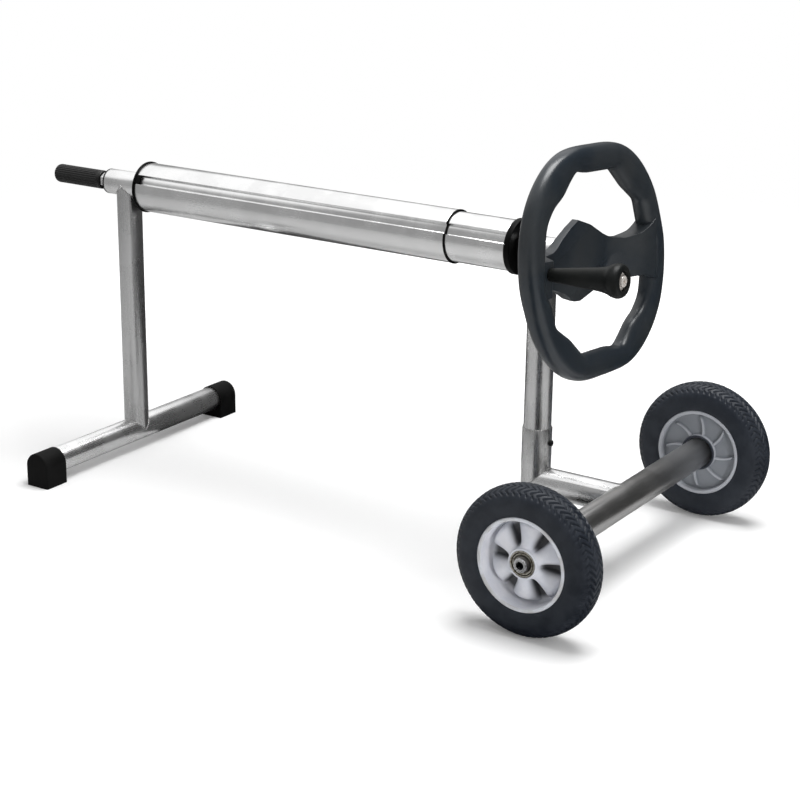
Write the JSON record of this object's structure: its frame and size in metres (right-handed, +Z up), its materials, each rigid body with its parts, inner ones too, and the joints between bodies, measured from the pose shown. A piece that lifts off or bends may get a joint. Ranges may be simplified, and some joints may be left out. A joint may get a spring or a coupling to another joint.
{
  "type": "pool cover reel",
  "caption": "Telescopic tube roller for a pool cover, on a T-shaped stand and a wheeled stand, turned by an oval handwheel with a crank knob.",
  "frame": {"origin": "on the floor, at the middle of the reel's bounding box, with the roller as short as in the picture", "axes": "+X along the roller, from the rubber grip towards the wheels; +Y along the wheel axle, away from the viewer's side; +Z up; floor at Z = 0"},
  "size_m": [1.108, 0.555, 0.5845],
  "materials": {
    "stainless_steel": "polished stainless tube",
    "roller_aluminium": "bright drawn aluminium tube",
    "axle_steel": "dark brushed steel tube",
    "black_cap_plastic": "black moulded plastic",
    "foot_rubber": "matt black rubber",
    "grip_rubber": "ribbed black rubber",
    "bush_nylon": "black nylon",
    "handwheel_plastic": "charcoal moulded plastic, satin",
    "knob_plastic": "dark grey-green plastic, satin",
    "tyre_rubber": "blue-black solid rubber",
    "rim_plastic": "light grey moulded plastic",
    "bearing_steel": "bearing ring steel",
    "bright_fastener": "bright plated steel",
    "black_screw": "blackened steel"
  },
  "bodies": {
    "wheel_stand": {"right_post": "stainless_steel", "post_socket": "stainless_steel", "base_tube": "stainless_steel", "axle_tube": "axle_steel", "right_sleeve": "stainless_steel", "right_bush_inner": "bush_nylon", "right_bush_outer": "bush_nylon", "post_screw": "black_screw", "axle_plug_front": "bright_fastener", "axle_plug_rear": "bright_fastener", "axle_bolt_front": "bright_fastener", "axle_bolt_rear": "bright_fastener", "axle_washer_front": "bright_fastener", "axle_washer_rear": "bright_fastener", "front_bearing_spacer": "bright_fastener", "rear_bearing_spacer": "bright_fastener", "front_race_outer": "bright_fastener", "front_race_inner": "bright_fastener", "rear_race_outer": "bright_fastener", "rear_race_inner": "bright_fastener"},
    "front_wheel": {"front_tyre": "tyre_rubber", "front_rim": "rim_plastic", "front_bearing_outer": "bearing_steel", "front_bearing_inner": "bearing_steel"},
    "rear_wheel": {"rear_tyre": "tyre_rubber", "rear_rim": "rim_plastic", "rear_bearing_outer": "bearing_steel", "rear_bearing_inner": "bearing_steel"},
    "left_stand": {"left_post": "stainless_steel", "foot_tube": "stainless_steel", "foot_cap_front": "foot_rubber", "foot_cap_rear": "foot_rubber", "left_sleeve": "stainless_steel", "left_bush_inner": "bush_nylon", "left_bush_outer": "bush_nylon"},
    "outer_roller": {"outer_tube": "roller_aluminium", "seam_ring": "black_cap_plastic", "left_end_cap": "black_cap_plastic", "left_shaft": "stainless_steel", "lock_nut": "bright_fastener", "grip": "grip_rubber"},
    "drive_roller": {"inner_tube": "roller_aluminium", "slide_bush": "bush_nylon", "right_end_cap": "black_cap_plastic", "right_shaft": "stainless_steel", "handwheel": "handwheel_plastic", "handwheel_pin": "bright_fastener", "knob_bolt": "bright_fastener", "knob_nut": "bright_fastener", "knob_washer": "bright_fastener"},
    "crank_knob": {"crank_knob": "knob_plastic"}
  },
  "joints": [
    {"name": "telescope", "type": "slide", "parent": "wheel_stand", "child": "left_stand", "axis": [-1, 0, 0], "range_m": [-0.085, 0.3]},
    {"name": "roller_spin", "type": "hinge", "parent": "wheel_stand", "child": "drive_roller", "pos_m": [0.31845, 0, 0.426], "axis": [1, 0, 0], "continuous": true},
    {"name": "outer_tube_spin", "type": "hinge", "parent": "left_stand", "child": "outer_roller", "pos_m": [-0.40955, 0, 0.426], "axis": [1, 0, 0], "continuous": true},
    {"name": "front_wheel_spin", "type": "hinge", "parent": "wheel_stand", "child": "front_wheel", "pos_m": [0.45395, -0.2545, 0.1], "axis": [0, 1, 0], "continuous": true},
    {"name": "rear_wheel_spin", "type": "hinge", "parent": "wheel_stand", "child": "rear_wheel", "pos_m": [0.45395, 0.2545, 0.1], "axis": [0, 1, 0], "continuous": true},
    {"name": "knob_spin", "type": "hinge", "parent": "drive_roller", "child": "crank_knob", "pos_m": [0.40045, -0.13, 0.4315], "axis": [0.9976, 0, 0.0698], "continuous": true}
  ],
  "couplings": [
    {"joint": "outer_tube_spin", "follows": "roller_spin", "ratio": 1}
  ]
}
